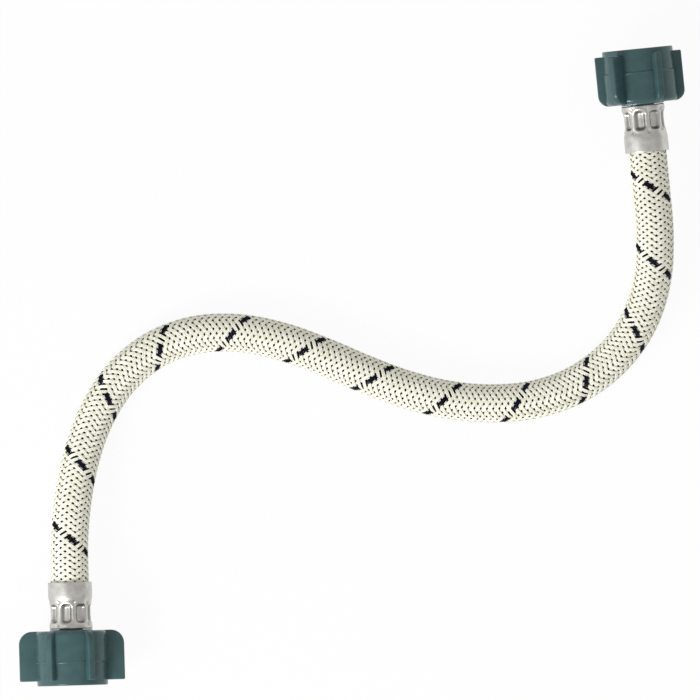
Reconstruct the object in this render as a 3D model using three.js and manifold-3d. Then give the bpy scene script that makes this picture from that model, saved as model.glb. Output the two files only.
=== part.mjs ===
// Flexible sink connector: a braided hose with a crimped steel ferrule and a swivelling wing nut on each end.
// Millimetres, +Z up. The hose lies on the surface z = 0 in a loose S, and both nuts rest on their ribs.

import * as THREE from 'three';
import Module from 'manifold-3d';
import { mergeVertices } from 'three/addons/utils/BufferGeometryUtils.js';

const wasm = await Module();
wasm.setup();

// Clearances
const restGap = 0.3;          // between parts that touch
const swivelGap = 0.4;        // round the parts that turn inside each other

// Hose: a rubber liner inside a woven sleeve
const hoseRadius = 6.7;
const sleeveWall = 0.85;
const linerWall = 1.6;
const sleeveCrimpedRadius = 5.1;
const sleeveCrimpedWall = 0.5;
const linerCrimpedWall = 0.65;
const hoseSides = 12;
const hoseSteps = 34;
const hoseInsert = 15.0;      // how far the hose reaches into a ferrule
const crimpStart = 1.2;       // depth in the ferrule where the crimp begins to draw the hose in
const crimpEnd = 5.2;         // depth where it is fully drawn in

// Ferrule: thin sheet steel, dimpled all round to grip the hose
const ferruleLength = 16.4;
const ferruleSheet = 0.45;
const skirtRadius = 7.65;
const skirtLength = 5.8;
const skirtFullest = 2.4;     // from the mouth to the skirt's widest place
const skirtDraw = 0.1;        // how much narrower the mouth is
const waistRadius = 6.8;
const waistRise = 0.3;        // how much wider the waist is where the flare begins
const lipRadius = 7.5;
const lipEdgeRadius = 0.4;
const dimpleCount = 8;
const dimpleDepth = 0.9;
const dimpleStart = 7.6;
const dimpleLength = 6.9;
const dimpleEndRun = 1.3;     // axial length of a dimple's sloped ends
const dimpleHalfAngle = 15.5; // degrees, to a dimple's upper edge
const floorHalfAngle = 9.5;   // degrees, to a dimple's flat floor

// Nipple: a barbed brass stem with a flange inside the nut
const waterwayRadius = 2.5;
const barbRadius = 3.35;
const barbRootRadius = 3.0;
const barbCount = 3;
const barbCrest = 0.5;
const barbFall = 0.1;
const stemTip = 1.5;
const stemPlain = 1.0;        // from the last barb to the collar
const collarRadius = 4.1;
const neckRadius = 5.1;
const flangeGap = 0.75;       // between the flange and the bore of the nut
const flangeThickness = 2.2;
const flangeChamfer = 0.3;

// Washer
const washerGap = 0.45;       // between the washer and the bore of the nut
const washerHoleRadius = 4.4;
const washerThickness = 2.4;
const washerChamfer = 0.2;

// Wing nut
const nutGap = 0.5;           // between the ferrule and the nut
const nutLength = 19.1;
const nutBackRadius = 12.8;
const nutRimRadius = 12.3;
const nutBackEdgeRadius = 1.7;
const nutWall = 3.0;          // thickness of the back wall
const boreRadius = 9.45;      // crests of the inside thread
const mouthRadius = 10.8;
const mouthChamfer = 1.3;
const rimChamfer = 0.4;
const seamPlace = 10.9;       // parting line of the mould, from the back face
const seamHeight = 0.15;
const seamHalfWidth = 0.25;
const seamStep = 0.25;        // the front half is that much smaller
const wingReach = 18.3;
const ribReach = 15.1;
const wingThickness = 2.5;
const wingSetback = 1.75;     // from the open rim to the end of the wings
const wingCornerRadius = 4.6;
const wingEdgeRadius = 0.6;
const wingLand = 0.2;         // straight stretch between the cup and a wing's corner
const wingCount = 6;

// Facets of the turned pieces
const nippleSides = 20;
const washerSides = 24;
const nutSides = 32;

// The way each end lies, in degrees; turns are counted from the top, towards the local +X
const lowerEnd = { nutTurn: -87.7, dimpleTurn: 13 };
const upperEnd = { nutTurn: -32, dimpleTurn: -12.5 };

// Centre line of the hose from one ferrule's mouth to the other
const route = [
  [-98.0, -75.1, 13.7],
  [-98.2, -68.1, 13.7],
  [-98.2, -60.6, 13.7],
  [-97.1, -47.2, 12.7],
  [-94.2, -32.1, 10.3],
  [-89.0, -17.5, 8.0],
  [-80.6, -4.4, 6.8],
  [-68.9, 5.4, 6.8],
  [-54.7, 10.7, 6.8],
  [-39.3, 11.4, 6.8],
  [-24.1, 8.4, 6.8],
  [-9.7, 3.2, 6.8],
  [4.4, -2.8, 6.8],
  [19.0, -8.2, 6.8],
  [34.0, -11.8, 6.8],
  [49.5, -13.0, 6.8],
  [64.9, -11.3, 6.8],
  [79.3, -5.8, 6.8],
  [91.4, 3.6, 7.4],
  [100.1, 16.3, 9.6],
  [104.5, 31.0, 12.4],
  [105.2, 46.5, 14.9],
  [104.1, 60.0, 16.0],
  [103.4, 67.4, 16.0],
  [102.7, 74.4, 16.0],
];

const radians = THREE.MathUtils.degToRad;

const white = new THREE.MeshStandardMaterial({ color: 0xe9e8dc, roughness: 0.75, metalness: 0 });
const black = new THREE.MeshStandardMaterial({ color: 0x141414, roughness: 0.8, metalness: 0 });
const steel = new THREE.MeshStandardMaterial({ color: 0xc4c3bf, roughness: 0.28, metalness: 1 });
const brass = new THREE.MeshStandardMaterial({ color: 0xc9a45a, roughness: 0.35, metalness: 1 });
const green = new THREE.MeshStandardMaterial({ color: 0x48625f, roughness: 0.45, metalness: 0 });

// Turned piece from the outline of its section: pairs of radius and place along the axis, closed on itself
function turned(outline, sides) {
  const points = outline.map(([r, w]) => new THREE.Vector2(r, w));
  points.push(points[0].clone());
  return new THREE.LatheGeometry(points, sides);
}

// Rounded edge: points of an arc about a radius and a place, from one angle to another in degrees
function arc(radius, place, size, from, to, steps) {
  const points = [];
  for (let i = 0; i <= steps; i++) {
    const a = radians(from + (to - from) * i / steps);
    points.push([radius + size * Math.cos(a), place + size * Math.sin(a)]);
  }
  return points;
}

function named(name, geometry, material) {
  const mesh = new THREE.Mesh(geometry, material);
  mesh.name = name;
  return mesh;
}

// Boolean work on closed meshes
function toSolid(geometry) {
  const bare = geometry.clone();
  bare.deleteAttribute('normal');
  bare.deleteAttribute('uv');
  const merged = mergeVertices(bare, 1e-4);
  return new wasm.Manifold(new wasm.Mesh({
    numProp: 3,
    vertProperties: new Float32Array(merged.attributes.position.array),
    triVerts: new Uint32Array(merged.index.array),
  }));
}

function toGeometry(solid) {
  const mesh = solid.getMesh();
  const geometry = new THREE.BufferGeometry();
  geometry.setAttribute('position', new THREE.BufferAttribute(mesh.vertProperties, 3));
  geometry.setIndex(new THREE.BufferAttribute(mesh.triVerts, 1));
  return geometry;
}

// Ferrule. A turned shell whose wall is pressed inwards in flat-bottomed dimples.
const columnsPerDimple = 5;
const dimplePitch = 360 / dimpleCount;
const dimpleColumns = [
  -dimplePitch / 2,
  -dimpleHalfAngle,
  -floorHalfAngle,
  floorHalfAngle,
  dimpleHalfAngle,
];

function ferruleOutline() {
  const end = dimpleStart + dimpleLength;
  const skin = [
    [skirtRadius - skirtDraw, 0],
    [skirtRadius, skirtFullest],
    [skirtRadius - skirtDraw / 2, skirtLength],
    [waistRadius + waistRise / 2, dimpleStart],
    [waistRadius + waistRise / 6, dimpleStart + dimpleEndRun / 2],
    [waistRadius, dimpleStart + dimpleEndRun],
    [waistRadius, end - dimpleEndRun],
    [waistRadius + waistRise / 3, end - dimpleEndRun / 2],
    [waistRadius + waistRise, end],
  ];
  const inside = skin.map(([r, w]) => [r - ferruleSheet, w]).reverse();
  const lip = arc(lipRadius - lipEdgeRadius, ferruleLength - lipEdgeRadius, lipEdgeRadius, 0, 90, 2);
  const hole = collarRadius + restGap;
  return [
    ...skin,
    ...lip,
    [hole, ferruleLength],
    [hole, ferruleLength - ferruleSheet],
    [lipRadius - lipEdgeRadius, ferruleLength - ferruleSheet],
    ...inside,
  ];
}

function pressed(place) {
  const into = place - dimpleStart;
  const share = Math.min(into, dimpleLength - into) / dimpleEndRun;
  return THREE.MathUtils.smoothstep(share, 0, 1);
}

function ferrule(turn) {
  const sides = dimpleCount * columnsPerDimple;
  const geometry = turned(ferruleOutline(), sides);
  const position = geometry.attributes.position;
  const halfFloor = Math.cos(radians(floorHalfAngle));
  for (let i = 0; i < position.count; i++) {
    const x = position.getX(i);
    const z = position.getZ(i);
    const place = position.getY(i);
    const column = Math.round(Math.atan2(x, z) / (2 * Math.PI) * sides + sides) % sides;
    const angle = dimpleColumns[column % columnsPerDimple];
    const dimple = Math.floor(column / columnsPerDimple) * dimplePitch;
    const onFloor = Math.abs(angle) <= floorHalfAngle;
    const radius = Math.hypot(x, z);
    const depth = onFloor ? dimpleDepth - radius * (1 - halfFloor) : 0;
    const shrunk = radius - depth * pressed(place);
    const around = radians(dimple + angle + turn);
    position.setXYZ(i, shrunk * Math.sin(around), place, shrunk * Math.cos(around));
  }
  return geometry;
}

// Nipple. Barbs inside the hose, a collar through the ferrule, a neck through the nut and a flange behind the washer.
const nutBack = ferruleLength + nutGap;
const flangeBack = nutBack + nutWall + restGap;
const flangeFront = flangeBack + flangeThickness;
const washerBack = flangeFront + restGap;
const washerFront = washerBack + washerThickness;

function nipple() {
  const collarStart = hoseInsert + restGap;
  const shoulder = ferruleLength + restGap;
  const flangeRadius = boreRadius - flangeGap;
  const barbPitch = (collarStart - stemTip - stemPlain) / barbCount;
  const outline = [[waterwayRadius, stemTip]];
  for (let i = 0; i < barbCount; i++) {
    const end = stemTip + (i + 1) * barbPitch;
    outline.push([barbRootRadius, end - barbPitch]);
    outline.push([barbRadius, end - barbCrest - barbFall]);
    outline.push([barbRadius, end - barbFall]);
  }
  outline.push([barbRootRadius, collarStart - stemPlain + barbFall]);
  outline.push([barbRootRadius, collarStart]);
  outline.push([collarRadius, collarStart]);
  outline.push([collarRadius, shoulder]);
  outline.push([neckRadius, shoulder]);
  outline.push([neckRadius, flangeBack]);
  outline.push([flangeRadius - flangeChamfer, flangeBack]);
  outline.push([flangeRadius, flangeBack + flangeChamfer]);
  outline.push([flangeRadius, flangeFront - flangeChamfer]);
  outline.push([flangeRadius - flangeChamfer, flangeFront]);
  outline.push([waterwayRadius, flangeFront]);
  return turned(outline, nippleSides);
}

function washer() {
  const washerRadius = boreRadius - washerGap;
  return turned([
    [washerHoleRadius, washerBack],
    [washerRadius - washerChamfer, washerBack],
    [washerRadius, washerBack + washerChamfer],
    [washerRadius, washerFront - washerChamfer],
    [washerRadius - washerChamfer, washerFront],
    [washerHoleRadius, washerFront],
  ], washerSides);
}

// Wing nut. A turned cup with two long wings and four short ribs, moulded as one piece.
function nutBody() {
  const neckHole = neckRadius + swivelGap;
  return turned([
    [neckHole, 0],
    ...arc(nutBackRadius - nutBackEdgeRadius, nutBackEdgeRadius, nutBackEdgeRadius, -90, 0, 4),
    [nutBackRadius, seamPlace - seamHalfWidth],
    [nutBackRadius + seamHeight, seamPlace],
    [nutBackRadius - seamStep, seamPlace + seamHalfWidth],
    [nutRimRadius, nutLength - rimChamfer],
    [nutRimRadius - rimChamfer, nutLength],
    [mouthRadius, nutLength],
    [boreRadius, nutLength - mouthChamfer],
    [boreRadius, nutWall],
    [neckHole, nutWall],
  ].map(([r, w]) => [r, w + nutBack]), nutSides);
}

function wing(reach, turn) {
  const root = (boreRadius + nutRimRadius) / 2;
  const front = nutBack + nutLength - wingSetback - wingEdgeRadius;
  const back = nutBack + wingEdgeRadius;
  const tip = reach - wingEdgeRadius;
  const corner = Math.min(wingCornerRadius - wingEdgeRadius, tip - root - wingLand);
  const outline = new THREE.Shape();
  outline.moveTo(root, front);
  outline.lineTo(root, back);
  outline.lineTo(tip - corner, back);
  outline.absarc(tip - corner, back + corner, corner, -Math.PI / 2, 0, false);
  outline.lineTo(tip, front);
  const geometry = new THREE.ExtrudeGeometry(outline, {
    depth: wingThickness - 2 * wingEdgeRadius,
    curveSegments: 6,
    bevelEnabled: true,
    bevelThickness: wingEdgeRadius,
    bevelSize: wingEdgeRadius,
    bevelSegments: 2,
  });
  geometry.translate(0, 0, wingEdgeRadius - wingThickness / 2);
  geometry.rotateY(radians(turn - 90));
  return geometry;
}

function wingNut(turn) {
  let solid = toSolid(nutBody());
  for (let i = 0; i < wingCount; i++) {
    const reach = i % (wingCount / 2) === 0 ? wingReach : ribReach;
    solid = solid.add(toSolid(wing(reach, turn + i * 360 / wingCount)));
  }
  return toGeometry(solid);
}

// One whole end: its own Y axis runs outwards from the mouth of the ferrule.
function fitting(side, end) {
  const group = new THREE.Group();
  group.add(named(`${side}_ferrule`, ferrule(end.dimpleTurn), steel));
  group.add(named(`${side}_nipple`, nipple(), brass));
  group.add(named(`${side}_washer`, washer(), black));
  group.add(named(`${side}_wing_nut`, wingNut(end.nutTurn), green));
  return group;
}

// Hose. The route is carried on straight into both ferrules, where the rings of the tube lie closer.
const points = route.map(([x, y, z]) => new THREE.Vector3(x, y, z));

function outward(mouth, next) {
  return mouth.clone().sub(next).setZ(0).normalize();
}

const lowerMouth = points[0];
const upperMouth = points[points.length - 1];
const lowerOut = outward(lowerMouth, points[1]);
const upperOut = outward(upperMouth, points[points.length - 2]);
const hoseStart = lowerMouth.clone().addScaledVector(lowerOut, hoseInsert);
const hoseEnd = upperMouth.clone().addScaledVector(upperOut, hoseInsert);

class HoseLine extends THREE.CatmullRomCurve3 {
  // At each end a ring stands on every mark of the crimp; the rest are evenly spaced between the mouths
  place(u) {
    const total = this.getLength();
    const ends = [0, hoseInsert - crimpEnd, hoseInsert - crimpStart, hoseInsert];
    const stops = [...ends];
    const between = hoseSteps - 2 * (ends.length - 1);
    for (let i = 1; i < between; i++) {
      stops.push(hoseInsert + i / between * (total - 2 * hoseInsert));
    }
    stops.push(...ends.map((s) => total - s).reverse());
    const step = Math.min(Math.floor(u * hoseSteps), hoseSteps - 1);
    const share = u * hoseSteps - step;
    return (stops[step] + share * (stops[step + 1] - stops[step])) / total;
  }

  getPointAt(u, target) {
    return super.getPointAt(this.place(u), target);
  }

  getTangentAt(u, target) {
    return super.getTangentAt(this.place(u), target);
  }
}

const hoseLine = new HoseLine([hoseStart, ...points, hoseEnd], false, 'centripetal');
hoseLine.arcLengthDivisions = 1000;

function polygon(radius) {
  const path = [];
  for (let i = 0; i < hoseSides; i++) {
    const a = i / hoseSides * 2 * Math.PI;
    path.push(new THREE.Vector2(radius * Math.cos(a), radius * Math.sin(a)));
  }
  return path;
}

// A pipe along the hose line, drawn in where the ferrules grip it
function pipe(outer, inner, crimpedOuter, crimpedInner) {
  const section = new THREE.Shape(polygon(outer));
  section.holes.push(new THREE.Path(polygon(inner)));
  const geometry = new THREE.ExtrudeGeometry(section, {
    steps: hoseSteps,
    extrudePath: hoseLine,
    bevelEnabled: false,
  });
  const position = geometry.attributes.position;
  const middle = (outer + inner) / 2;
  const vertex = new THREE.Vector3();
  for (const [mouth, out] of [[lowerMouth, lowerOut], [upperMouth, upperOut]]) {
    for (let i = 0; i < position.count; i++) {
      vertex.fromBufferAttribute(position, i).sub(mouth);
      const depth = vertex.dot(out);
      const across = vertex.clone().addScaledVector(out, -depth);
      if (depth <= crimpStart || across.length() > 2 * outer) continue;
      const full = across.length() > middle ? outer : inner;
      const crimped = across.length() > middle ? crimpedOuter : crimpedInner;
      const share = THREE.MathUtils.smoothstep(depth, crimpStart, crimpEnd);
      across.multiplyScalar(THREE.MathUtils.lerp(1, crimped / full, share));
      vertex.copy(across).addScaledVector(out, depth).add(mouth);
      position.setXYZ(i, vertex.x, vertex.y, vertex.z);
    }
  }
  return geometry;
}

const sleeveInner = hoseRadius - sleeveWall;
const sleeveCrimpedInner = sleeveCrimpedRadius - sleeveCrimpedWall;
const linerOuter = sleeveInner - restGap;
const linerCrimpedOuter = sleeveCrimpedInner - restGap;
const linerInner = linerOuter - linerWall;
const linerCrimpedInner = linerCrimpedOuter - linerCrimpedWall;

const connector = new THREE.Group();
connector.add(named(
  'braided_sleeve',
  pipe(hoseRadius, sleeveInner, sleeveCrimpedRadius, sleeveCrimpedInner),
  white,
));
connector.add(named(
  'inner_liner',
  pipe(linerOuter, linerInner, linerCrimpedOuter, linerCrimpedInner),
  black,
));

for (const [side, end, mouth, out] of [
  ['lower', lowerEnd, lowerMouth, lowerOut],
  ['upper', upperEnd, upperMouth, upperOut],
]) {
  const group = fitting(side, end);
  group.position.copy(mouth);
  group.rotation.z = Math.atan2(out.y, out.x) - Math.PI / 2;
  connector.add(group);
}

export default connector;
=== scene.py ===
import bisect
import math
import random
import bmesh
import bpy
from mathutils import Matrix, Vector
from mathutils.geometry import interpolate_bezier


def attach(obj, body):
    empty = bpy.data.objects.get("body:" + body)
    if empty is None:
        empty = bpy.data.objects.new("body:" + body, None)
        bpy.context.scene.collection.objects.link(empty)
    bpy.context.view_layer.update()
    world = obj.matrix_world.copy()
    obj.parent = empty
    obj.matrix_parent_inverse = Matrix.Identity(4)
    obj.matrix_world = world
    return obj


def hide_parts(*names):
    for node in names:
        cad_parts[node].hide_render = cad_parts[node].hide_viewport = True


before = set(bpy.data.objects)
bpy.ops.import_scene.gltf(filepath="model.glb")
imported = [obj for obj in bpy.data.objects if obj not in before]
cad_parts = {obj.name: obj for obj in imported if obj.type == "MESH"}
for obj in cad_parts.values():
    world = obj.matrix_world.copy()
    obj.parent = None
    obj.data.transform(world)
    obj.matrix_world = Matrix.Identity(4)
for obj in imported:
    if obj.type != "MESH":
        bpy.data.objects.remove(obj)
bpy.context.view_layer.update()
mm = 0.001

# Camera
# The photograph looks straight down from far away, so that no side of the connector looks nearer than another. It is
# square, and shows the connector from end to end.
photo_width = 243.25 * mm
photo_centre = Vector((-0.63 * mm, 5.53 * mm, 0.0))
camera_height = 1.0
camera_data = bpy.data.cameras.new("camera")
camera_data.type = "ORTHO"
camera_data.ortho_scale = photo_width
camera = bpy.data.objects.new("camera", camera_data)
camera.location = photo_centre + Vector((0.0, 0.0, camera_height))
bpy.context.scene.collection.objects.link(camera)
bpy.context.scene.camera = camera
bpy.context.scene.view_settings.view_transform = "Standard"

# Hose line
# The hose lies in a loose S from the lower fitting to the upper one. Its centre line passes these points, in metres,
# between the mouths of the two ferrules, and runs on straight inside them for as far as the hose is pushed in.
route = [
    (-0.0980, -0.0751, 0.0137),
    (-0.0982, -0.0681, 0.0137),
    (-0.0982, -0.0606, 0.0137),
    (-0.0971, -0.0472, 0.0127),
    (-0.0942, -0.0321, 0.0103),
    (-0.0890, -0.0175, 0.0080),
    (-0.0806, -0.0044, 0.0068),
    (-0.0689, 0.0054, 0.0068),
    (-0.0547, 0.0107, 0.0068),
    (-0.0393, 0.0114, 0.0068),
    (-0.0241, 0.0084, 0.0068),
    (-0.0097, 0.0032, 0.0068),
    (0.0044, -0.0028, 0.0068),
    (0.0190, -0.0082, 0.0068),
    (0.0340, -0.0118, 0.0068),
    (0.0495, -0.0130, 0.0068),
    (0.0649, -0.0113, 0.0068),
    (0.0793, -0.0058, 0.0068),
    (0.0914, 0.0036, 0.0074),
    (0.1001, 0.0163, 0.0096),
    (0.1045, 0.0310, 0.0124),
    (0.1052, 0.0465, 0.0149),
    (0.1041, 0.0600, 0.0160),
    (0.1034, 0.0674, 0.0160),
    (0.1027, 0.0744, 0.0160),
]
hose_insert = 15.0 * mm
hose_radius = 6.7 * mm
line_samples = 60


def outward(mouth, beside):
    """The level direction in which the route leaves its end."""
    return Vector((mouth.x - beside.x, mouth.y - beside.y, 0.0)).normalized()


mouths = {"lower": Vector(route[0]), "upper": Vector(route[-1])}
outwards = {
    "lower": outward(mouths["lower"], Vector(route[1])),
    "upper": outward(mouths["upper"], Vector(route[-2])),
}
line_points = [
    mouths["lower"] + outwards["lower"] * hose_insert,
    *(Vector(p) for p in route),
    mouths["upper"] + outwards["upper"] * hose_insert,
]


def travel(before, here, after):
    """How fast a centripetal curve passes a point: its direction and its pace."""
    into = math.sqrt((here - before).length)
    out = math.sqrt((after - here).length)
    return (here - before) / into - (after - before) / (into + out) + (after - here) / out


def sampled_line():
    """Many points of the smooth curve through the line's points."""
    first = line_points[0] * 2 - line_points[1]
    last = line_points[-1] * 2 - line_points[-2]
    around = [first, *line_points, last]
    samples = []
    for before, start, end, after in zip(around, around[1:], around[2:], around[3:]):
        pace = math.sqrt((end - start).length) / 3
        leave = start + travel(before, start, end) * pace
        arrive = end - travel(start, end, after) * pace
        samples += interpolate_bezier(start, leave, arrive, end, line_samples)[:-1]
    return samples + [line_points[-1]]


line = sampled_line()
line_length = [0.0]
for here, after in zip(line, line[1:]):
    line_length.append(line_length[-1] + (after - here).length)
hose_length = line_length[-1]


def on_hose(place, radius, angle):
    """The point at that distance along the hose, that far from its centre line, turned that far from the top."""
    i = min(max(bisect.bisect(line_length, place) - 1, 0), len(line) - 2)
    share = (place - line_length[i]) / (line_length[i + 1] - line_length[i])
    ahead = (line[i + 1] - line[i]).normalized()
    up = (Vector((0.0, 0.0, 1.0)) - ahead * ahead.z).normalized()
    side = up.cross(ahead)
    return line[i].lerp(line[i + 1], share) + (up * math.cos(angle) + side * math.sin(angle)) * radius


# Woven sleeve
# Twelve strands of glossy ivory filament wound each way, each over two and under two of those it crosses, so that
# floats stand in rows along the hose. A strand is a flat band of three filaments side by side; one left-hand strand is
# navy, a tracer. The bands are narrower than their lanes, which leaves a small hole between every four of them.
strand_count = 12
strand_pitch = 25.72 * mm
filament_thickness = 0.415 * mm
filament_spacing = 0.355 * mm
tracer_thickness = 0.52 * mm
tracer_spacing = 0.51 * mm
stray_angle = math.radians(0.7)
weave_depth = 0.22 * mm
weave_radius = hose_radius - weave_depth - filament_thickness / 2
wave_flatness = 0.22
wave_height = 0.82
float_turn = math.radians(-6.0)
tracer_start = hose_insert + 15.12 * mm
drift = 1.35 * mm
drift_place = 190.0 * mm
drift_length = 90.0 * mm
twist = math.radians(11.0)
twist_start = 287.0 * mm
twist_end = 311.0 * mm
cross_shift = strand_pitch * (float_turn / math.pi + 1 / (4 * strand_count))
strand_slope = math.hypot(1.0, strand_pitch / (2 * math.pi * weave_radius))
steps_per_wave = 8
crimp_start = hose_insert - 1.2 * mm
crimp_end = hose_insert - 5.2 * mm
crimped_radius = 5.1 * mm
crimped_share = crimped_radius / hose_radius
ivory_light = (0.93, 0.92, 0.81)
ivory_dark = (0.86, 0.845, 0.71)
navy_light = (0.007, 0.010, 0.026)
navy_dark = (0.002, 0.002, 0.006)
ivory_roughness = 0.45
navy_roughness = 0.6
ivory_specular = 0.5
navy_specular = 0.08
strand_sides = 6
random.seed(4)


def smooth(low, high, value):
    """A soft step from 0 to 1."""
    share = min(max((value - low) / (high - low), 0.0), 1.0)
    return share * share * (3 - 2 * share)


def crimped(place):
    """How much of its radius the hose keeps there: less inside the ferrules, which squeeze it."""
    end = min(place, hose_length - place)
    return 1 - (1 - crimped_share) * smooth(crimp_start, crimp_end, end)


def wave(turn):
    """Where a strand lies, from over at 1 to under at -1, as it passes round the hose."""
    return (math.cos(turn) - wave_flatness * math.cos(3 * turn)) / wave_height


def strand(number, hand, spacing):
    """The three filaments of one strand; hand is 1 for a left-hand strand and -1 for a right-hand one."""
    paths = []
    start = tracer_start if hand > 0 else tracer_start + cross_shift
    waves = strand_count / 2
    first = hand * waves * (2 * math.pi * number / strand_count - float_turn)
    count = int((hose_length / strand_pitch + 1) * waves * steps_per_wave)
    short_stray = (random.uniform(7, 12) * mm, random.uniform(0, 6.28))
    long_stray = (random.uniform(18, 35) * mm, random.uniform(0, 6.28))
    strays = (short_stray, long_stray)
    for beside in (-1, 0, 1):
        offset = beside * spacing * strand_slope
        path = []
        for i in range(-count, count):
            turn = i * 2 * math.pi / steps_per_wave
            place = start + offset / 2 + (turn - first) * strand_pitch / (2 * math.pi * waves)
            drifted = place + drift * math.exp(-((place - drift_place) / drift_length) ** 2)
            if not 0 <= place <= hose_length:
                continue
            angle = hand * 2 * math.pi * (place - start - offset) / strand_pitch + 2 * math.pi * number / strand_count
            angle += stray_angle / 2 * sum(math.sin(place / length + phase) for length, phase in strays)
            angle += twist * smooth(twist_start, twist_end, place)
            radius = (weave_radius + hand * wave(turn) * weave_depth) * crimped(place)
            path.append(on_hose(min(drifted, hose_length), radius, angle))
        paths.append(path)
    return paths


def node(material, kind, inputs, **settings):
    """A shader node, with each input set to a value or joined to another node's output."""
    made = material.node_tree.nodes.new("ShaderNode" + kind)
    for name, value in settings.items():
        setattr(made, name, value)
    fill(material, made, inputs)
    return made


def fill(material, made, inputs):
    """Sets a shader node's inputs, or joins them to other nodes' outputs."""
    for name, value in inputs.items():
        if isinstance(value, bpy.types.NodeSocket):
            material.node_tree.links.new(value, made.inputs[name])
        else:
            made.inputs[name].default_value = value


def paint(name, **inputs):
    """A new material and its main shader, with some inputs set."""
    material = bpy.data.materials.new(name)
    material.use_nodes = True
    shader = material.node_tree.nodes["Principled BSDF"]
    fill(material, shader, {k.replace("_", " ").title().replace("Ior", "IOR"): v for k, v in inputs.items()})
    return material, shader


def yarn(name, dark, light, rough, specular):
    """Smooth filament with fine lines along it, a little uneven in tone."""
    material, shader = paint(name, specular_ior_level=specular)
    at = node(material, "TexCoord", {})
    cloud = node(material, "TexNoise", {"Vector": at.outputs["Object"], "Scale": 160.0, "Detail": 3.0})
    tone = node(material, "ValToRGB", {"Fac": cloud.outputs["Fac"]})
    tone.color_ramp.elements[0].position = 0.3
    tone.color_ramp.elements[0].color = (*dark, 1.0)
    tone.color_ramp.elements[1].position = 0.65
    tone.color_ramp.elements[1].color = (*light, 1.0)
    along = node(material, "Mapping", {"Vector": at.outputs["UV"], "Scale": (7.0, 90.0, 1.0)})
    lines = node(material, "TexNoise", {"Vector": along.outputs["Vector"], "Scale": 1.0, "Detail": 4.0})
    sheen = node(material, "MapRange", {"Value": lines.outputs["Fac"], "To Min": rough - 0.1, "To Max": rough + 0.12})
    relief = node(material, "Bump", {"Height": lines.outputs["Fac"], "Strength": 0.35, "Distance": 0.00006})
    fill(material, shader, {
        "Base Color": tone.outputs["Color"], "Roughness": sheen.outputs["Result"], "Normal": relief.outputs["Normal"],
    })
    return material


def tubes(name, paths, thickness, sides, shares=None):
    """One mesh of round tubes along these paths; shares of the thickness, point by point, make a tube narrower."""
    curve = bpy.data.curves.new(name, "CURVE")
    curve.dimensions = "3D"
    curve.bevel_depth = thickness / 2
    curve.bevel_resolution = sides // 2 - 2
    curve.use_fill_caps = True
    for path in paths:
        spline = curve.splines.new("POLY")
        spline.points.add(len(path) - 1)
        spline.points.foreach_set("co", [x for point in path for x in (*point, 1.0)])
        if shares:
            spline.points.foreach_set("radius", shares)
    sketch = bpy.data.objects.new(name, curve)
    bpy.context.scene.collection.objects.link(sketch)
    depsgraph = bpy.context.evaluated_depsgraph_get()
    mesh = bpy.data.meshes.new_from_object(sketch.evaluated_get(depsgraph))
    bpy.data.objects.remove(sketch)
    mesh.name = name
    mesh.shade_smooth()
    piece = bpy.data.objects.new(name, mesh)
    bpy.context.scene.collection.objects.link(piece)
    return piece


def lay(name, numbers, hand):
    """Some of the strands wound one way, as one mesh."""
    paths = [path for i in numbers for path in strand(i, hand, filament_spacing)]
    return tubes(name, paths, filament_thickness, strand_sides)


odd_strands = range(1, strand_count, 2)
left_lays = [
    lay("sleeve_left_lay_odd", odd_strands, 1),
    lay("sleeve_left_lay_even", range(2, strand_count, 2), 1),
]
right_lays = [
    lay("sleeve_right_lay_odd", odd_strands, -1),
    lay("sleeve_right_lay_even", range(0, strand_count, 2), -1),
]
tracer = tubes("sleeve_tracer", strand(0, 1, tracer_spacing), tracer_thickness, strand_sides)
ivory = yarn("ivory_yarn", ivory_dark, ivory_light, ivory_roughness, ivory_specular)
for piece in left_lays + right_lays:
    piece.data.materials.append(ivory)
tracer.data.materials.append(yarn("navy_yarn", navy_dark, navy_light, navy_roughness, navy_specular))
for piece in (*left_lays, *right_lays, tracer):
    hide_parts("braided_sleeve")
    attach(piece, "hose")

# Liner
# A black rubber tube inside the sleeve, squeezed with it by the ferrules. It shows as a dark dot where four strands
# leave a hole.
liner_radius = weave_radius - weave_depth - filament_thickness / 2
liner_steps = 180
liner_sides = 32
liner_colour = (0.006, 0.006, 0.007, 1.0)
liner_places = [i / liner_steps * hose_length for i in range(liner_steps + 1)]
liner_path = [on_hose(place, 0.0, 0.0) for place in liner_places]
liner_shares = [crimped(place) for place in liner_places]
liner = tubes("hose_liner", [liner_path], 2 * liner_radius, liner_sides, liner_shares)


def rubber(name, colour):
    """Matt rubber with a fine grain."""
    material, shader = paint(name, base_color=colour)
    at = node(material, "TexCoord", {})
    grain = node(material, "TexNoise", {"Vector": at.outputs["Object"], "Scale": 2500.0, "Detail": 5.0})
    matt = node(material, "MapRange", {"Value": grain.outputs["Fac"], "To Min": 0.6, "To Max": 0.85})
    relief = node(material, "Bump", {"Height": grain.outputs["Fac"], "Strength": 0.3, "Distance": 0.00005})
    fill(material, shader, {"Roughness": matt.outputs["Result"], "Normal": relief.outputs["Normal"]})
    return material


liner.data.materials.append(rubber("black_rubber", liner_colour))
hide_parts("inner_liner")
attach(liner, "hose")

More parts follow.
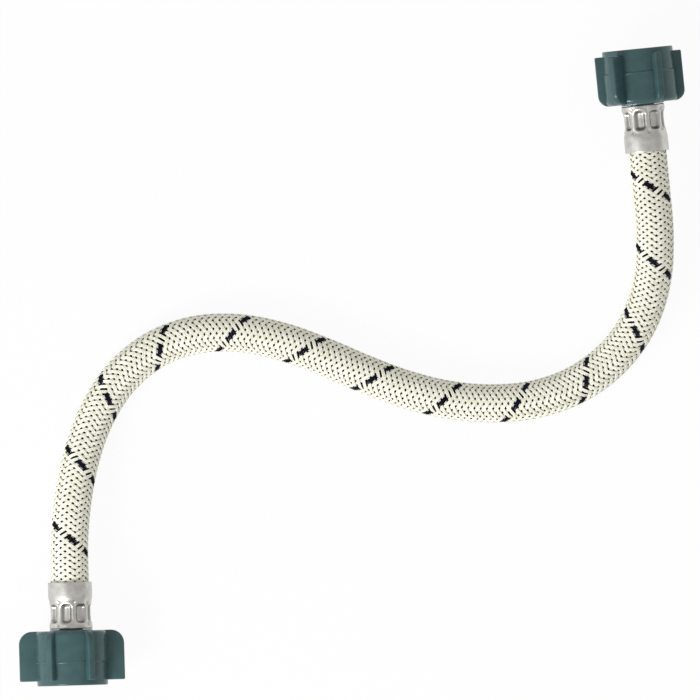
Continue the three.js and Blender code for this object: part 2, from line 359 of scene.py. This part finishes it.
# Ferrules
# A cup of thin steel slipped over the hose and crimped on in a press: eight flat-bottomed dimples grip the hose, the
# steel bulges up round each, and the end next to the nut flares out to a rounded lip. It shares one level axis with
# the nipple, washer and nut at its end, and all four are drawn in millimetres.
ferrule_length = 16.4
ferrule_sheet = 0.45
ferrule_skin = [
    (7.54, 0.0), (7.60, 0.05), (7.62, 0.25), (7.63, 0.9), (7.64, 1.35), (7.66, 2.4), (7.67, 3.6), (7.64, 4.8),
    (7.56, 5.7), (7.36, 6.4), (7.10, 7.0), (6.92, 7.6), (6.82, 8.3), (6.79, 9.5), (6.78, 10.8), (6.80, 12.0),
    (6.86, 13.0), (6.98, 13.9), (7.14, 14.6), (7.33, 15.2), (7.45, 15.65), (7.50, 15.95), (7.47, 16.2), (7.36, 16.35),
    (7.18, 16.4), (4.40, 16.4),
]
waist_radius = 6.8
end_hole = 4.4
plain_end = 5.5
end_margin = 0.2
mouth_margin = 0.12
ferrule_columns = 192
row_spacing = 0.2
dimple_count = 8
dimple_turn = {"lower": 13.0, "upper": -12.5}
dimple_middle = 11.05
dimple_depth = 1.2
dimple_half_width = 2.15
dimple_half_length = 3.5
dimple_corner = 1.7
dimple_wall = 1.15
dimple_end_share = 0.55
bulge_height = 0.16
end_bulge_height = 0.30
bulge_place = 0.3
bulge_width = 0.38
end_bulge_width = 0.62
crease_depth = 0.22
crease_width = 0.55
crease_start = 2.0
crease_full = 3.8
crease_fade = 4.0
crease_end = 4.9
steel_dark = (0.52, 0.51, 0.48)
steel_light = (0.67, 0.66, 0.62)
steel_smoothest = 0.28
steel_roughest = 0.44
steel_grain = (1500.0, 500.0, 1500.0)
steel_dent = 0.04 * mm
# Painted shade: the share of the steel's colour left on the dimples' walls, standing in for the shade that falls in
# them.
wall_shade_share = 0.62


def place_of(side):
    """Where a fitting's drawing goes: it is in millimetres, with Y running outwards from the ferrule's mouth."""
    out = outwards[side]
    across = Matrix(((out.y, out.x, 0, 0), (-out.x, out.y, 0, 0), (0, 0, 1, 0), (0, 0, 0, 1)))
    return Matrix.Translation(mouths[side]) @ across @ Matrix.Scale(mm, 4)


def turned(outline, steps):
    """A closed outline, of pairs of radius and place, turned round Y."""
    bm = bmesh.new()
    corners = [bm.verts.new((0.0, place, radius)) for radius, place in outline]
    edges = [bm.edges.new(pair) for pair in zip(corners, corners[1:])]
    edges.append(bm.edges.new((corners[-1], corners[0])))
    bmesh.ops.spin(
        bm, geom=corners + edges, cent=(0, 0, 0), axis=(0, 1, 0), dvec=(0, 0, 0), angle=2 * math.pi, steps=steps,
        use_merge=True,
    )
    bmesh.ops.remove_doubles(bm, verts=bm.verts, dist=0.0005)
    bmesh.ops.recalc_face_normals(bm, faces=bm.faces)
    return bm


def drawn(name, bm):
    """A drawn piece as an object."""
    mesh = bpy.data.meshes.new(name)
    bm.to_mesh(mesh)
    bm.free()
    piece = bpy.data.objects.new(name, mesh)
    bpy.context.scene.collection.objects.link(piece)
    return piece


def laid(name, bm, side, solid, body, material, sharp=35.0):
    """Lays a drawn piece at its end, in place of its CAD node."""
    piece = drawn(name, bm)
    mesh = piece.data
    mesh.transform(place_of(side))
    mesh.shade_smooth()
    mesh.set_sharp_from_angle(angle=math.radians(sharp))
    mesh.materials.append(material)
    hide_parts(solid)
    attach(piece, body)


def skin(sheet):
    """The ferrule's outside, or its inside, in rows."""
    rows = []
    for (r0, w0), (r1, w1) in zip(ferrule_skin, ferrule_skin[1:]):
        steps = max(1, round(math.hypot(r1 - r0, w1 - w0) / row_spacing))
        rows += [(r0 + (r1 - r0) * i / steps, w0 + (w1 - w0) * i / steps) for i in range(steps)]
    rows.append(ferrule_skin[-1])
    for _ in range(2):
        rows = [rows[0]] + [
            tuple((a + 2 * b + c) / 4 for a, b, c in zip(*three)) for three in zip(rows, rows[1:], rows[2:])
        ] + [rows[-1]]
    if sheet:
        rows = [(r, w) for r, w in rows if mouth_margin < w < ferrule_length - end_margin]
        rows = [(max(r - sheet, end_hole), min(w, ferrule_length - sheet)) for r, w in rows]
        rows.append((end_hole, ferrule_length - sheet))
    return rows


def off_dimple(across, along):
    """How far a place lies outside the edge of its dimple; less than nothing inside."""
    x = abs(across) - dimple_half_width + dimple_corner
    y = abs(along) - dimple_half_length + dimple_corner
    return math.hypot(max(x, 0.0), max(y, 0.0)) + min(max(x, y), 0.0) - dimple_corner


def pressed(across, along):
    """How far the press moves the steel outwards there, with a crease between one dimple and the next."""
    off = off_dimple(across, along)
    at_end = smooth(dimple_end_share, 1.0, abs(along) / dimple_half_length)
    height = bulge_height + (end_bulge_height - bulge_height) * at_end
    width = bulge_width + (end_bulge_width - bulge_width) * at_end
    fold = (off - bulge_place) / width
    beside = (abs(across) - math.pi * waist_radius / dimple_count) / crease_width
    crease = crease_depth * math.exp(-beside * beside) * smooth(crease_start, crease_full, abs(along))
    crease *= 1 - smooth(crease_fade, crease_end, abs(along))
    return height * math.exp(-fold * fold) - dimple_depth * smooth(0.0, dimple_wall, -off) - crease


def ferrule(side):
    """The turned cup, pressed in at its dimples; the walls of the dimples get a painted shade weight, which darkens
    the steel's colour there.
    """
    bm = turned(skin(0.0) + skin(ferrule_sheet)[::-1], ferrule_columns)
    painted_wall_shade = bm.verts.layers.float.new("painted_wall_shade")
    pitch = 2 * math.pi / dimple_count
    for vertex in bm.verts:
        radius = math.hypot(vertex.co.x, vertex.co.z)
        if radius < plain_end:
            continue
        angle = math.atan2(vertex.co.x, vertex.co.z)
        beside = math.remainder(angle - math.radians(dimple_turn[side]), pitch)
        across, along = beside * waist_radius, vertex.co.y - dimple_middle
        moved = radius + pressed(across, along)
        depth = smooth(0.0, dimple_wall, -off_dimple(across, along))
        # Painted shade weight, highest halfway down each dimple's wall.
        vertex[painted_wall_shade] = 4 * depth * (1 - depth)
        vertex.co.x *= moved / radius
        vertex.co.z *= moved / radius
    return bm


def worked_metal(name, dark, light, smoothest, roughest, grain_scale, dent):
    """Bare metal with a cloudy tone and the fine lines that its working leaves."""
    material, shader = paint(name, metallic=1.0)
    at = node(material, "TexCoord", {})
    cloud = node(material, "TexNoise", {"Vector": at.outputs["Object"], "Scale": 420.0, "Detail": 5.0})
    tone = node(material, "ValToRGB", {"Fac": cloud.outputs["Fac"]})
    tone.color_ramp.elements[0].position = 0.32
    tone.color_ramp.elements[0].color = (*dark, 1.0)
    tone.color_ramp.elements[1].position = 0.68
    tone.color_ramp.elements[1].color = (*light, 1.0)
    stretched = node(material, "Mapping", {"Vector": at.outputs["Object"], "Scale": grain_scale})
    grain = node(material, "TexNoise", {"Vector": stretched.outputs["Vector"], "Scale": 1.0, "Detail": 6.0})
    sheen = node(material, "MapRange", {"Value": grain.outputs["Fac"], "To Min": smoothest, "To Max": roughest})
    relief = node(material, "Bump", {"Height": grain.outputs["Fac"], "Strength": 0.5, "Distance": dent})
    fill(material, shader, {
        "Base Color": tone.outputs["Color"], "Roughness": sheen.outputs["Result"], "Normal": relief.outputs["Normal"],
    })
    return material


steel = worked_metal(
    "satin_steel", steel_dark, steel_light, steel_smoothest, steel_roughest, steel_grain, steel_dent,
)
shader = steel.node_tree.nodes["Principled BSDF"]
# Painted shade: the steel's colour is darkened on the dimples' walls, by the weight that ferrule() stores on each
# vertex.
wall_shade_attribute = node(steel, "Attribute", {}, attribute_name="painted_wall_shade")
darker = node(steel, "MapRange", {"Value": wall_shade_attribute.outputs["Fac"], "To Min": 1.0, "To Max": wall_shade_share})
tone = shader.inputs["Base Color"].links[0].from_socket
wall_shaded_tone = node(steel, "VectorMath", {0: tone}, operation="SCALE")
fill(steel, wall_shaded_tone, {"Scale": darker.outputs["Result"]})
fill(steel, shader, {"Base Color": wall_shaded_tone.outputs["Vector"]})
for side in ("lower", "upper"):
    laid(f"{side}_crimped_ferrule", ferrule(side), side, f"{side}_ferrule", "hose", steel, 70.0)

# Nipples
# A turned brass tube, held in the hose by the crimp. It has barbs inside the liner, a neck on which the nut turns, and
# the flange that the nut pulls up.
waterway = 2.5
barb_count = 3
barb_pitch = 4.27
barb_root = 3.0
barb_radius = 3.35
stem_tip = 1.5
collar_start = 15.3
collar_radius = 4.1
neck_start = 16.7
neck_radius = 5.1
nut_back = 16.9
flange_back = nut_back + 3.3
flange_front = flange_back + 2.2
flange_radius = 8.7
flange_edge = 0.3
nipple_steps = 72
brass_dark = (0.36, 0.25, 0.11)
brass_light = (0.52, 0.37, 0.17)
brass_smoothest = 0.28
brass_roughest = 0.5
brass_grain = (200.0, 3500.0, 200.0)
brass_dent = 0.03 * mm


def arc(radius, place, size, first, last, steps):
    """Points of a rounded edge: a quarter circle, or less, about (radius, place)."""
    turns = [math.radians(first + (last - first) * i / steps) for i in range(steps + 1)]
    return [(radius + size * math.cos(t), place + size * math.sin(t)) for t in turns]


def nipple():
    outline = [(waterway, stem_tip), (barb_root - 0.15, stem_tip)]
    for i in range(barb_count):
        start = stem_tip + i * barb_pitch
        end = start + barb_pitch
        outline += [(barb_root, start + 0.2), (barb_radius - 0.02, end - 0.7), (barb_radius, end - 0.5)]
        outline += [(barb_radius - 0.02, end - 0.2), (barb_root, end - 0.05)]
    outline += [(barb_root, collar_start), (collar_radius - 0.1, collar_start), (collar_radius, collar_start + 0.1)]
    outline += [(collar_radius, neck_start), (neck_radius - 0.1, neck_start), (neck_radius, neck_start + 0.1)]
    outline += [(neck_radius, flange_back)]
    outline += arc(flange_radius - flange_edge, flange_back + flange_edge, flange_edge, -90, 0, 3)
    outline += arc(flange_radius - flange_edge, flange_front - flange_edge, flange_edge, 0, 90, 3)
    outline += [(waterway + flange_edge, flange_front), (waterway, flange_front - flange_edge)]
    return turned(outline, nipple_steps)


brass = worked_metal(
    "turned_brass", brass_dark, brass_light, brass_smoothest, brass_roughest, brass_grain, brass_dent,
)
for side in ("lower", "upper"):
    laid(f"{side}_brass_nipple", nipple(), side, f"{side}_nipple", "hose", brass)

# Washers
# A flat black rubber ring with rounded edges, loose inside each nut. It lies on the flange and seals against the end
# of the pipe that the nut is screwed onto.
washer_back = flange_front + 0.3
washer_front = washer_back + 2.4
washer_hole = 4.4
washer_radius = 9.0
washer_edge = 0.3
washer_steps = 72
washer_colour = (0.012, 0.012, 0.013, 1.0)


def washer():
    back, front = washer_back + washer_edge, washer_front - washer_edge
    inner, outer = washer_hole + washer_edge, washer_radius - washer_edge
    outline = arc(inner, back, washer_edge, 180, 270, 3) + arc(outer, back, washer_edge, 270, 360, 3)
    outline += arc(outer, front, washer_edge, 0, 90, 3) + arc(inner, front, washer_edge, 90, 180, 3)
    return turned(outline, washer_steps)


washer_rubber = rubber("washer_rubber", washer_colour)
for side in ("lower", "upper"):
    laid(f"{side}_rubber_washer", washer(), side, f"{side}_washer", "hose", washer_rubber)

# Wing nuts
# One moulding of grey green plastic: a cup with two long wings and four short ribs for the fingers, a fine parting
# ridge round its middle, and a half inch pipe thread inside.
nut_length = 19.1
nut_steps = 96
nut_turn = {"lower": -87.7, "upper": -32.0}
back_radius = 12.8
rim_radius = 12.3
back_edge = 1.7
rim_edge = 0.45
neck_hole = 5.5
back_wall = 3.0
mouth_radius = 10.95
seam_place = 10.9
bore_radius = 9.45
thread_radius = 10.48
thread_crest = 9.5
thread_pitch = 1.814
thread_start = 9.0
thread_turns = 5
thread_steps = 48
thread_root_half = 0.82
thread_crest_half = 0.2
wing_count = 6
wing_reach = 18.3
rib_reach = 15.1
wing_thickness = 2.5
wing_setback = 1.75
wing_corner = 4.6
wing_edge = 0.5
wing_edge_steps = 4
wing_root = 11.0
green_dark = (0.038, 0.083, 0.086)
green_light = (0.048, 0.101, 0.104)
green_specular = 0.34
green_smoothest = 0.16
green_roughest = 0.30
hub_radius = 7.4
hub_height = 0.35


def nut_cup():
    """The nut without its wings: a low ring on the back, the seam, a rounded rim, and the bore behind the thread."""
    outline = [(neck_hole, 0.0), (neck_hole + 0.1, -hub_height), (hub_radius, -hub_height), (hub_radius + 0.1, 0.0)]
    outline += arc(back_radius - back_edge, back_edge, back_edge, -90, 0, 8)
    outline += [(back_radius, 2.1), (back_radius, seam_place - 0.5), (back_radius, seam_place - 0.3)]
    outline += [(back_radius + 0.10, seam_place - 0.15)]
    outline += [(back_radius + 0.16, seam_place - 0.02), (back_radius + 0.10, seam_place + 0.08)]
    outline += [(back_radius - 0.22, seam_place + 0.30), (back_radius - 0.25, seam_place + 0.40)]
    outline += [(back_radius - 0.26, seam_place + 0.60), (12.42, 15.0), (rim_radius + 0.01, nut_length - 0.7)]
    outline += arc(rim_radius - rim_edge, nut_length - rim_edge, rim_edge, 0, 90, 4)
    outline += [(mouth_radius, nut_length), (mouth_radius - 0.15, nut_length - 0.1), (thread_radius, nut_length - 0.5)]
    outline += [(thread_radius, thread_start - 0.5), (bore_radius, thread_start - 0.9), (bore_radius, back_wall + 0.3)]
    outline += [(bore_radius - 0.3, back_wall), (neck_hole, back_wall)]
    return turned([(radius, nut_back + place) for radius, place in outline], nut_steps)


def wing(reach, turn):
    """One flat wing or rib with rounded edges, turned to its place round the nut."""
    front = nut_back + nut_length - wing_setback
    corner = min(wing_corner, reach - wing_root - 0.4)
    sweep = arc(reach - corner, nut_back + corner, corner, -90, 0, 10)
    sketch = [(wing_root, front), (wing_root, nut_back), *sweep, (reach, front)]
    bm = bmesh.new()
    face = bm.faces.new([bm.verts.new((-wing_thickness / 2, place, radius)) for radius, place in sketch])
    pulled = bmesh.ops.extrude_face_region(bm, geom=[face])["geom"]
    far = [v for v in pulled if isinstance(v, bmesh.types.BMVert)]
    bmesh.ops.translate(bm, verts=far, vec=(wing_thickness, 0, 0))
    outer = [e for e in bm.edges if not all(abs(v.co.z - wing_root) < 0.01 for v in e.verts)]
    flat = [e for e in outer if abs(e.verts[0].co.x - e.verts[1].co.x) < 0.01]
    ends = [e for e in outer if e not in flat and e.verts[0].co.y > front - 0.01]
    bmesh.ops.bevel(
        bm, geom=flat + ends, offset=wing_edge, segments=wing_edge_steps, profile=0.5, affect="EDGES", material=-1,
    )
    bmesh.ops.recalc_face_normals(bm, faces=bm.faces)
    bmesh.ops.rotate(bm, verts=bm.verts, cent=(0, 0, 0), matrix=Matrix.Rotation(turn, 3, "Y"))
    return bm


def wing_nut(side):
    """The cup and its wings made one, with the thread swept round the bore."""
    bm = bmesh.new()
    for i in range(wing_count):
        reach = wing_reach if i % (wing_count // 2) == 0 else rib_reach
        one = drawn("wing", wing(reach, math.radians(nut_turn[side] + 360 / wing_count * i)))
        bm.from_mesh(one.data)
        bpy.data.meshes.remove(one.data)
    wings = drawn("wings", bm)
    cup = drawn("nut_cup", nut_cup())
    union = cup.modifiers.new("union", "BOOLEAN")
    union.operation = "UNION"
    union.solver = "EXACT"
    union.object = wings
    depsgraph = bpy.context.evaluated_depsgraph_get()
    joined = bpy.data.meshes.new_from_object(cup.evaluated_get(depsgraph))
    bpy.data.meshes.remove(cup.data)
    bpy.data.meshes.remove(wings.data)
    bm = bmesh.new()
    bm.from_mesh(joined)
    bpy.data.meshes.remove(joined)
    root, start = thread_radius + 0.1, nut_back + thread_start
    section = [
        (root, start - thread_root_half), (thread_crest, start - thread_crest_half),
        (thread_crest, start + thread_crest_half), (root, start + thread_root_half),
    ]
    ridge = [bm.verts.new((0.0, place, radius)) for radius, place in section]
    loop = [bm.edges.new((ridge[i], ridge[(i + 1) % 4])) for i in range(4)]
    bm.faces.new(ridge)
    swept = bmesh.ops.spin(
        bm, geom=ridge + loop, cent=(0, 0, 0), axis=(0, 1, 0), dvec=(0, thread_pitch / thread_steps, 0),
        angle=2 * math.pi * thread_turns, steps=thread_steps * thread_turns, use_merge=False,
    )["geom_last"]
    bm.faces.new([v for v in swept if isinstance(v, bmesh.types.BMVert)])
    bmesh.ops.remove_doubles(bm, verts=bm.verts, dist=0.0005)
    bmesh.ops.recalc_face_normals(bm, faces=bm.faces)
    return bm


green, shader = paint("moulded_green", specular_ior_level=green_specular)
at = node(green, "TexCoord", {})
cloud = node(green, "TexNoise", {"Vector": at.outputs["Object"], "Scale": 260.0, "Detail": 4.0})
tone = node(green, "ValToRGB", {"Fac": cloud.outputs["Fac"]})
tone.color_ramp.elements[0].position = 0.3
tone.color_ramp.elements[0].color = (*green_dark, 1.0)
tone.color_ramp.elements[1].position = 0.7
tone.color_ramp.elements[1].color = (*green_light, 1.0)
grain = node(green, "TexNoise", {"Vector": at.outputs["Object"], "Scale": 1400.0, "Detail": 6.0})
sheen = node(green, "MapRange", {"Value": grain.outputs["Fac"], "To Min": green_smoothest, "To Max": green_roughest})
relief = node(green, "Bump", {"Height": grain.outputs["Fac"], "Strength": 0.25, "Distance": 0.00004})
fill(green, shader, {
    "Base Color": tone.outputs["Color"], "Roughness": sheen.outputs["Result"], "Normal": relief.outputs["Normal"],
})
for side in ("lower", "upper"):
    laid(f"{side}_moulded_nut", wing_nut(side), side, f"{side}_wing_nut", f"{side}_nut", green)

# Floor and light
# The connector lies on a white surface, lit from the lower left by a window-like lamp, with weak light from the left
# side and from all round. The camera and shiny pieces see the surface as white, and it keeps a faint shadow.
floor_half = 2.0
floor_drop = 0.02 * mm
floor_grey = (0.8, 0.8, 0.8, 1.0)
glow_share = 0.94
surroundings = 0.62
bm = bmesh.new()
bmesh.ops.create_grid(
    bm, x_segments=1, y_segments=1, size=floor_half, matrix=Matrix.Translation((0.0, 0.0, -floor_drop)),
)
floor = drawn("floor", bm)
floor_paint = bpy.data.materials.new("white_floor")
floor_paint.use_nodes = True
floor_paint.node_tree.nodes.clear()
ray = node(floor_paint, "LightPath", {})
direct = node(floor_paint, "Math", {
    0: ray.outputs["Is Camera Ray"], 1: ray.outputs["Is Glossy Ray"],
}, operation="MAXIMUM")
watched = node(floor_paint, "Math", {
    0: direct.outputs["Value"], 1: ray.outputs["Is Transmission Ray"],
}, operation="MAXIMUM")
share = node(floor_paint, "Math", {0: watched.outputs["Value"], 1: glow_share}, operation="MULTIPLY")
shaded = node(floor_paint, "BsdfDiffuse", {"Color": floor_grey})
glow = node(floor_paint, "Emission", {})
mix = node(floor_paint, "MixShader", {
    "Fac": share.outputs["Value"], 1: shaded.outputs["BSDF"], 2: glow.outputs["Emission"],
})
node(floor_paint, "OutputMaterial", {"Surface": mix.outputs["Shader"]})
floor.data.materials.append(floor_paint)

world = bpy.data.worlds.new("studio")
world.use_nodes = True
world.node_tree.nodes["Background"].inputs["Color"].default_value = (1, 1, 1, 1)
world.node_tree.nodes["Background"].inputs["Strength"].default_value = surroundings
bpy.context.scene.world = world


def area_light(name, place, size, power):
    """A square lamp that faces the middle of the connector."""
    lamp = bpy.data.lights.new(name, "AREA")
    lamp.size = size
    lamp.energy = power
    lit = bpy.data.objects.new(name, lamp)
    lit.location = place
    lit.rotation_euler = Vector(place).to_track_quat("Z", "Y").to_euler()
    bpy.context.scene.collection.objects.link(lit)


area_light("key", (-0.75, -0.75, 0.85), 0.5, 13.5)
area_light("side_fill", (-1.3, -0.35, 0.30), 1.4, 3.5)
